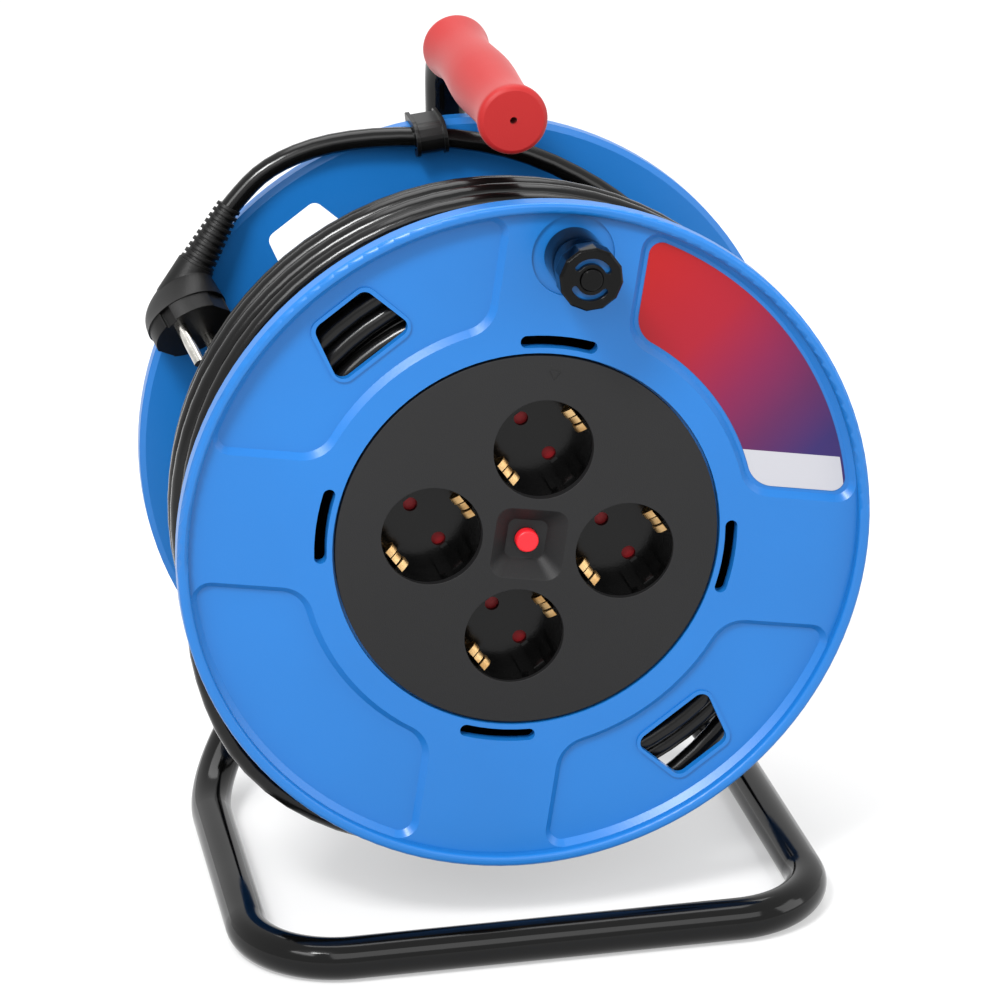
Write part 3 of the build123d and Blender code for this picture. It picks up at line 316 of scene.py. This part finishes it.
FINISHES = {
    BLUE_PP: ["front_flange", "rear_flange"],
    PLATE_ABS: ["socket_plate"],
    CUP_PA: [f"socket_cup_{k}" for k in range(1, 5)],
    FRAME_PA: [
        "drum_core", "core_gland", "contact_block", "cutout_body", "hub_bracket", "hub_cover",
        "rim_clip",
    ],
    TUBE_PAINT: ["base_tube", "handle_tube"],
    GRIP_PVC: ["grip"],
    KNOB_PP: ["knob", "knob_screw"],
    SHUTTER_PA: [f"shutter_{k}" for k in range(1, 5)],
    BUTTON_PA: ["reset_button"],
    PLUG_RUBBER: ["strain_relief", "plug_body"],
    BRASS: [
        *[f"earth_clip_{k}" for k in range(1, 5)], "earth_ring", "line_contacts",
        "neutral_contacts",
    ],
    NICKEL: ["plug_pins"],
    ZINC: ["clamp_bolts", "axle", "axle_washer", "axle_screw", "tie_bolts", "block_screws"],
    STICKER: ["label"],
    CABLE_PVC: ["cable_coil", "cable_tail"],
}
for finish, names in FINISHES.items():
    for name in names:
        slots = NODES[name].data.materials
        if not slots:
            slots.append(finish)
        for k in range(len(slots)):
            slots[k] = finish

# ---- cable -------------------------------------------------------------------------------------
# Lengths are in mm, depths behind FACE_Y, angles in degrees; u counts turns from the gland.
CABLE_R = 4.15
START_ANGLE = 240.0                # gland in the barrel
START_DEPTH = 31.0
START_SINK = 4.0                   # how far under the first layer the cable starts
START_RUN = 0.2                    # turns it takes to come up from there
TAIL_ANGLE = 40.0                  # where the last turn leaves the winding
TURNS = 74 + ((TAIL_ANGLE - START_ANGLE) % 360) / 360
STEPS = 16                         # spline points to one turn
TAIL = [(62.0, 125.0, 112.0), (84.0, 133.2, 124.0), (108.2, 143.7, 129.5), (122.2, 151.2, 129.0),
        (131.9, 148.3, 127.1)]     # angle, radius and depth of the free end
PLUG_WAY = (-0.536, -0.102, -0.838)
IN_PLUG = (0.012, 0.026)           # how far two more points lie inside the plug, m
BARREL_LINE = 84.4                 # centre line of the first layer
FRONT_DEPTH = 13.4                 # foremost turn
REAR_DEPTH = 128.5                 # rearmost turn
CLIMB = 0.7                        # turns taken by the step up to the next layer

# Layers of the winding: turn count at the end of each, its radius and the depth it ends at.
OUTER_FROM = 67.6                  # turn at which the outer layer starts
OUTER_END = 53.0                   # depth at which the slanting turns start
LAYERS = [
    (11.7, BARREL_LINE, REAR_DEPTH), (25.5, 92.3, FRONT_DEPTH),
    (39.3, 100.2, REAR_DEPTH), (53.1, 108.1, FRONT_DEPTH),
    (60.9, 115.8, 79.0), (OUTER_FROM, 122.4, FRONT_DEPTH),
    (72.5, 128.2, OUTER_END),
]
# The outer layer is crowned and ends in almost two slanting turns.
OUTER_SHIFT = 6.6                  # how far behind FRONT_DEPTH it starts
OUTER_RUN = 0.4                    # turns over which it comes to lie there
CROWN_AT = [13, 20, 28, 37, 46, 54]                       # depth
CROWN = [0, 1.6, 5.2, 7.8, 8.4, 5.8]                      # added to the radius
LAST_END = 106.0                   # depth at which they end
LAST_BEND = 0.9                    # power of their run across the drum
LAST_AT = [53, 66, 76, 88, 96, 106]                       # depth
LAST_R = [134.0, 134.4, 129.0, 121.6, 117.4, 116.5]       # radius there
# Upper layers lie a little unevenly, less and less towards the rear.
LOOSE_FROM = 53                    # turn at which that starts
LOOSE_RUN = 3
LOOSE_FADE = [53, 80]              # depths
LOOSE_FRONT = 18                   # nothing moves sideways in front of this depth
LOOSE_DEPTH = 1.0                  # sideways
LOOSE_RADIUS = 0.35                # up and down
LOOSE_WAVES = (1.37, 0.81, 2.3)    # waves to a turn: one sideways, two up and down
# The pile is thicker on one side of the barrel.
PILE_AT = 130.0                    # where it is thickest
PILE_INNER = 0.2                   # part of the thickness missing on the other side
PILE_OUTER = 0.3                   # the same in the outer layer
PILE_END = 1.9                     # last turns over which the difference fades
# The first turn of the outer layer hangs away from the rest and has a slack loop.
HANG_AT = 285.0
HANG = 17.0                        # how far out at that angle
HANG_SPAN = 34.0                   # angle over which it falls to 1 / e of that
SLACK_AT = 225.0
SLACK_LOOP_R = 92.0                # radius of the slack loop itself
SLACK_REACH = 147.0                # its farthest point from the drum axis
SLACK_HALF = 48.0                  # the loop ends this far to each side of SLACK_AT
SLACK_ROUND = 1.2                  # rounding where it leaves the turn


def slack_loop(angle):
    """Polar radius of a small circle whose far side reaches out past the winding at one place.

    c cos(off) + sqrt(R^2 - c^2 sin(off)^2) with c the distance of its centre from the axis.
    """
    off = np.radians((angle - SLACK_AT + 180) % 360 - 180)
    centre = SLACK_REACH - SLACK_LOOP_R
    inside = np.maximum(SLACK_LOOP_R**2 - (centre * np.sin(off)) ** 2, 0)
    reach = centre * np.cos(off) + np.sqrt(inside)
    return np.where(np.abs(off) < math.radians(SLACK_HALF), reach, 0)


def soft_max(a, b, width):
    """The greater of two lengths, rounded off: b + width * ln(1 + exp((a - b) / width))."""
    return b + width * np.logaddexp(0, (a - b) / width)


def winding_points():
    """Layers wound to and fro: angle grows evenly, radius steps up at each end, depth runs across.

    A step up is 3 t^2 - 2 t^3 over CLIMB turns, and a squeezed radius is
    BARREL_LINE + (r - BARREL_LINE) * (1 + uneven * (cos(angle - PILE_AT) - 1) / 2).
    """
    count = int(TURNS * STEPS)
    u = np.arange(count + 1) / count * TURNS
    ends = [0.0] + [layer[0] for layer in LAYERS]
    depths = [START_DEPTH] + [layer[2] for layer in LAYERS]
    depth = np.interp(u, ends, depths)
    radius = np.full_like(u, BARREL_LINE)
    for (end, low, _), (_, high, _) in zip(LAYERS, LAYERS[1:]):
        t = np.clip((u - end + CLIMB / 2) / CLIMB, 0, 1)
        radius += (high - low) * t * t * (3 - 2 * t)
    radius -= START_SINK * np.clip(1 - u / START_RUN, 0, 1) ** 2
    outer = u > OUTER_FROM
    foremost = FRONT_DEPTH + OUTER_SHIFT * np.clip((u - OUTER_FROM) / OUTER_RUN, 0, 1)
    depth = np.maximum(depth, np.where(outer, foremost, 0))
    radius = radius + np.where(outer, np.interp(depth, CROWN_AT, CROWN), 0)
    last_from = LAYERS[-1][0]
    last = u > last_from
    t = np.clip((u - last_from) / (TURNS - last_from), 0, 1)
    depth = np.where(last, OUTER_END + (LAST_END - OUTER_END) * t**LAST_BEND, depth)
    radius = np.where(last, np.interp(depth, LAST_AT, LAST_R), radius)
    angle = TAIL_ANGLE - 360 * (TURNS - u)
    loose = np.clip((u - LOOSE_FROM) / LOOSE_RUN, 0, 1) * np.interp(depth, LOOSE_FADE, [1, 0])
    side, slow, fast = LOOSE_WAVES
    sideways = LOOSE_DEPTH * np.sin(TAU * u * side + 0.6)
    depth = depth + loose * sideways * (depth > LOOSE_FRONT)
    up_down = np.sin(TAU * u * slow) + np.sin(TAU * u * fast + 1.0)
    radius = radius + loose * LOOSE_RADIUS * up_down
    fade = np.clip((TURNS - u) / PILE_END, 0, 1)
    uneven = np.where(outer, PILE_OUTER, PILE_INNER) * fade
    squeeze = 1 + uneven * (np.cos(np.radians(angle - PILE_AT)) - 1) / 2
    radius = BARREL_LINE + (radius - BARREL_LINE) * squeeze
    first = (u > OUTER_FROM) & (u < OUTER_FROM + 1)
    away = (angle - HANG_AT + 180) % 360 - 180
    radius = radius + first * HANG * np.exp(-((away / HANG_SPAN) ** 2))
    radius = np.where(first, soft_max(slack_loop(angle), radius, SLACK_ROUND), radius)
    return angle, radius, depth


def cable_curve():
    """The whole cable as one open spline: the wound turns and then the free end to the plug."""
    angle, radius, depth = winding_points()
    # A quadratic spline runs inside its control points by the cosine of half a step.
    radius = radius / math.cos(math.radians(180 / STEPS))
    wound = on_drum(angle, radius, depth)
    tail = np.array([on_drum(*p) for p in TAIL])
    way = np.array(PLUG_WAY) / np.linalg.norm(PLUG_WAY)
    inside = tail[-1] + np.outer(IN_PLUG, way)
    points = np.concatenate([wound, tail, inside])
    data = bpy.data.curves.new("cable", "CURVE")
    data.dimensions = "3D"
    data.bevel_depth = CABLE_R / 1000
    data.bevel_resolution = 4
    data.resolution_u = 5
    data.use_fill_caps = True
    spline = data.splines.new("NURBS")
    spline.points.add(len(points) - 1)
    flat = np.concatenate([points, np.ones((len(points), 1))], axis=1).ravel()
    spline.points.foreach_set("co", flat)
    spline.order_u = 3
    spline.use_endpoint_u = True
    made = bpy.data.objects.new("cable", data)
    bpy.context.scene.collection.objects.link(made)
    data.materials.append(CABLE_PVC)
    return made


cable = cable_curve()
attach(cable, "drum")
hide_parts("cable_coil", "cable_tail")
tuple(on_drum(START_ANGLE, 80.0, 31.0))

# ---- earth springs and ribs of the sockets -----------------------------------------------------
# Lengths are in mm: a line is given by distance from the socket's centre and depth behind FACE_Y.
SOCKET_PITCH = 39.4                # socket centres from the drum axis
EARTH_AT = DRUM_TURN + 45.0        # line through both springs of a socket, degrees
STRIP_T = 0.8
FINGER_W = 3.1
FINGER_GAP = 0.75
FINGERS = [(-1, 3.9, 5.4), (0, 3.3, 5.9), (1, 3.9, 5.4)]  # lane, bulge and depth of the tip
FINGER_OUT = 18.9                  # the tip, less a tenth of the bulge
FINGER_LINE = 18.6                 # the crest, less the bulge, and the foot, less a fifth of it
FINGER_STEPS = (3.2, 6.6, 8.5)     # crest, foot and start of the strap, behind the tip
STRAP_LINE = 18.7                  # straight part of a strap
STRAP_FOOT = 25.0
BAR = [(-19.0, 25.1), (0, 25.1), (19.0, 25.1)]            # joins both straps
BAR_W = 10.6
CUP_FLOOR = 19.3
RIB = [(19.7, 6.4), (19.5, 7.2), (19.5, CUP_FLOOR + 0.4)]
RIB_T = 1.6
RIB_W = 2.4
RIB_AT = 20.0                      # to each side of the pins' line, degrees
RIDGE = [(12.4, CUP_FLOOR), (13.4, CUP_FLOOR - 0.35), (19.6, CUP_FLOOR - 0.35)]
RIDGE_T = 0.9
RIDGE_W = 3.0


def closed_piece(name, world, faces, finish, node=None):
    """A piece of the drum from its points and faces, turned outward; it may replace a CAD node."""
    mesh = bpy.data.meshes.new(name)
    mesh.from_pydata(world.tolist(), [], faces)
    mesh.validate()
    fix = bmesh.new()
    fix.from_mesh(mesh)
    bmesh.ops.recalc_face_normals(fix, faces=fix.faces)
    fix.to_mesh(mesh)
    fix.free()
    mesh.materials.append(finish)
    made = bpy.data.objects.new(name, mesh)
    bpy.context.scene.collection.objects.link(made)
    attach(made, "drum")
    if node:
        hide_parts(node)


def strip(path, low, high, thick):
    """Closed flat strip: a line of (distance, depth) points swept over a width; points and faces.

    P(k, s, t) = path[k] + t * normal[k] over the width s, where s is low or high and
    t is -thick / 2 or thick / 2.
    """
    path = np.array(path, float)
    way = np.gradient(path, axis=0)
    way /= np.linalg.norm(way, axis=1)[:, None]
    normal = np.stack([-way[:, 1], way[:, 0]], axis=1) * thick / 2
    rings = []
    for side, s in ((-1, low), (1, low), (1, high), (-1, high)):
        flat = path + side * normal
        rings.append(np.column_stack([flat[:, 0], np.full(len(flat), s), flat[:, 1]]))
    points = np.stack(rings, axis=1).reshape(-1, 3)
    faces = []
    for k in range(len(path) - 1):
        for j in range(4):
            a, b = 4 * k + j, 4 * k + (j + 1) % 4
            faces.append((a, a + 4, b + 4, b))
    last = 4 * (len(path) - 1)
    faces.append((0, 1, 2, 3))
    faces.append((last + 3, last + 2, last + 1, last))
    return points, faces


def finger_path(bulge, tip):
    """Line of one spring finger from its tip down to the foot of the strap.

    B(u) = (1 - u)^2 A + 2 u (1 - u) (2 M - (A + Z) / 2) + u^2 Z goes through A, M and Z, and a
    straight strap follows it.
    """
    u = np.linspace(0, 1, 15)[:, None]
    crest_at, foot_at, strap_at = (tip + step for step in FINGER_STEPS)
    end = np.array((FINGER_OUT - bulge * 0.1, tip))
    crest = np.array((FINGER_LINE - bulge, crest_at))
    foot = np.array((FINGER_LINE - bulge * 0.2, foot_at))
    pull = 2 * crest - (end + foot) / 2
    bow = (1 - u) ** 2 * end + 2 * u * (1 - u) * pull + u**2 * foot
    return np.concatenate([bow, [(STRAP_LINE, strap_at), (STRAP_LINE, STRAP_FOOT)]])


def joined(pieces):
    """Several (points, faces) as one."""
    points, faces, count = [], [], 0
    for p, f in pieces:
        points.append(p)
        faces += [tuple(i + count for i in face) for face in f]
        count += len(p)
    return np.concatenate(points), faces


def in_socket(number, angle, flat):
    """Points of one socket from (distance, across, depth) in mm, with distance at this angle."""
    a = math.radians(angle)
    out = np.array([math.cos(a), 0, math.sin(a)])
    across = np.array([-math.sin(a), 0, math.cos(a)])
    centre = on_drum(90 * (number - 1) + DRUM_TURN, SOCKET_PITCH, 0)
    return centre + (flat[:, :1] * out + flat[:, 1:2] * across + flat[:, 2:] * (0, 1, 0)) / 1000


def earth_spring(number):
    """Both straps of one socket, each with three fingers, and the bar that joins them behind it."""
    pieces = []
    for lane, bulge, tip in FINGERS:
        low = lane * (FINGER_W + FINGER_GAP) - FINGER_W / 2
        for side in (1, -1):
            path = finger_path(bulge, tip) * (side, 1)
            pieces.append(strip(path, low, low + FINGER_W, STRIP_T * side))
    pieces.append(strip(BAR, -BAR_W / 2, BAR_W / 2, STRIP_T))
    flat, faces = joined(pieces)
    world = in_socket(number, EARTH_AT, flat)
    closed_piece(f"earth_spring_{number}", world, faces, BRASS, f"earth_clip_{number}")


def cup_relief(number):
    """Low moulded ribs at both ends of the pins' line: two on the wall and one on the floor."""
    wall = strip(RIB, -RIB_W / 2, RIB_W / 2, RIB_T)
    ridge = strip(RIDGE, -RIDGE_W / 2, RIDGE_W / 2, RIDGE_T)
    for end, side in (("upper", 90.0), ("lower", -90.0)):
        pieces = []
        for turn, (flat, faces) in ((-RIB_AT, wall), (RIB_AT, wall), (0.0, ridge)):
            pieces.append((in_socket(number, EARTH_AT + side + turn, flat), faces))
        world, faces = joined(pieces)
        closed_piece(f"recess_ribs_{number}_{end}", world, faces, CUP_PA)


for number in range(1, 5):
    earth_spring(number)
    cup_relief(number)

# ---- clip that holds the free end at the rear rim ----------------------------------------------
CLIP_AT = 96.3                     # degrees
CLIP_CABLE = (126.7, 135.3)        # cable in the clip: depth and radius, mm
CLIP_WALL = 1.8
CLIP_ROOM = 0.6                    # play round the cable and behind the rim
CLIP_BACK = 142.0                  # outer face of the rear rim
CLIP_FOOT = 131.0                  # how far the back leg reaches down behind the rim
CLIP_HOOK = (-70, -270)            # angles over which the hook goes round the cable
CLIP_CORNER = 2.0                  # rounding of the corner over the rim
CLIP_CUT = 0.6                     # how far the middle of that corner is cut back
CLIP_STRAP = (-5.0, 5.0)           # the strap along the rim
CLIP_RIM = 6.6                     # outer side of the stiffening ribs
CLIP_RIB = CLIP_WALL + 0.9         # wall of those ribs


def clip_line(inset):
    """Outline of the clip beside the cable, grown by inset: hook, bridge and back leg."""
    depth, radius = CLIP_CABLE
    inner = CABLE_R + CLIP_ROOM + inset
    turn = np.radians(np.linspace(*CLIP_HOOK, 15))
    hook = np.column_stack([depth + inner * np.cos(turn), radius + inner * np.sin(turn)])
    roof = radius + inner
    back = CLIP_BACK + CLIP_ROOM + inset
    leg = [
        (back - CLIP_CORNER, roof),
        (back - CLIP_CUT, roof - CLIP_CUT),
        (back, roof - CLIP_CORNER),
        (back, CLIP_FOOT),
    ]
    return np.concatenate([hook, leg])


def clip_band(low, high, wall):
    """The clip's line thickened by a wall and swept along the rim from low to high.

    P(k, side, s) = line(k) grown by 0 or the wall, moved s along the rim.
    """
    points = []
    for inside, outside in zip(clip_line(0.0), clip_line(wall)):
        for d, r in (inside, outside):
            for s in (low, high):
                points.append((d, r, s))
    faces = []
    for a in range(0, len(points) - 4, 4):
        for i, j in ((0, 1), (1, 3), (3, 2), (2, 0)):
            faces.append((a + i, a + j, a + 4 + j, a + 4 + i))
    last = len(points) - 4
    faces.append((0, 2, 3, 1))
    faces.append((last, last + 1, last + 3, last + 2))
    return np.array(points), faces


def rim_clip():
    """Strap over the rim with a stiffening rib along each side."""
    low, high = CLIP_STRAP
    bands = [(low, high, CLIP_WALL), (-CLIP_RIM, low, CLIP_RIB), (high, CLIP_RIM, CLIP_RIB)]
    flat, faces = joined([clip_band(*band) for band in bands])
    a = math.radians(CLIP_AT)
    base = on_drum(CLIP_AT, flat[:, 1], flat[:, 0])
    world = base + flat[:, 2:] / 1000 * np.array([math.sin(a), 0, -math.cos(a)])
    closed_piece("rim_clip_strap", world, faces, FRAME_PA, "rim_clip")


rim_clip()

# ---- stage -------------------------------------------------------------------------------------
EYE = (-0.28707, -1.49422, 0.72358)
LOOK = (0.17839, 0.92076, -0.34695)
RIGHT = (0.98081, -0.19457, -0.01207)
DOWN = (-0.07862, -0.33814, -0.93781)
LENS_MM = 141.23
SENSOR_MM = 36.0
FLOOR_HALF = 6.0
AIM = (0, 0, 0.15)                 # what most lights look at


def add_camera():
    """Camera whose axes are the three measured directions."""
    data = bpy.data.cameras.new("camera")
    data.lens = LENS_MM
    data.sensor_width = SENSOR_MM
    data.clip_start = 0.05
    camera = bpy.data.objects.new("camera", data)
    bpy.context.scene.collection.objects.link(camera)
    turn = np.stack([np.array(RIGHT), -np.array(DOWN), -np.array(LOOK)], axis=1)
    camera.matrix_world = Matrix.Translation(EYE) @ Matrix(turn.tolist()).to_4x4()
    bpy.context.scene.camera = camera


def add_light(name, place, aim, size, power):
    """White soft box at a place, turned to its aim; size in metres, power in watts."""
    data = bpy.data.lights.new(name, "AREA")
    data.shape = "RECTANGLE"
    data.size, data.size_y = size
    data.energy = power
    light = bpy.data.objects.new(name, data)
    bpy.context.scene.collection.objects.link(light)
    light.location = place
    light.rotation_euler = (Vector(place) - Vector(aim)).to_track_quat("Z", "Y").to_euler()


def add_floor():
    """Pale floor that glows a little, so that it comes out white round the reel."""
    mesh = bpy.data.meshes.new("floor")
    s = FLOOR_HALF
    mesh.from_pydata([(-s, -s, 0), (s, -s, 0), (s, s, 0), (-s, s, 0)], [], [(0, 1, 2, 3)])
    floor = bpy.data.objects.new("floor", mesh)
    bpy.context.scene.collection.objects.link(floor)
    made, tree, _ = new_material("pale_floor")
    shader = add_node(
        tree,
        "ShaderNodeBsdfPrincipled",
        inputs={
            "Base Color": linear("#A2A2A2"),
            "Roughness": 0.9,
            "Emission Color": (1, 1, 1, 1),
            "Emission Strength": 0.42,
        },
    )
    close(tree, shader)
    mesh.materials.append(made)


add_camera()
add_floor()
add_light("key", place=(-1.1, -1.5, 2.3), aim=AIM, size=(0.7, 0.5), power=78)
add_light("left", place=(-1.3, -1.1, 1.5), aim=(-0.1, 0.05, 0.25), size=(0.8, 0.8), power=16)
add_light("front", place=(0.4, -2.4, 1.7), aim=AIM, size=(2.6, 1.2), power=26)
add_light("side", place=(2.2, -0.8, 1.0), aim=AIM, size=(1.2, 1.6), power=18)
add_light("top", place=(0.1, 0.6, 2.2), aim=AIM, size=(1.6, 1.6), power=34)
world = bpy.data.worlds.new("studio")
world.use_nodes = True
sky = world.node_tree.nodes["Background"]
sky.inputs["Color"].default_value = (1, 1, 1, 1)
sky.inputs["Strength"].default_value = 1.0
bpy.context.scene.world = world
bpy.context.scene.view_settings.view_transform = "Standard"
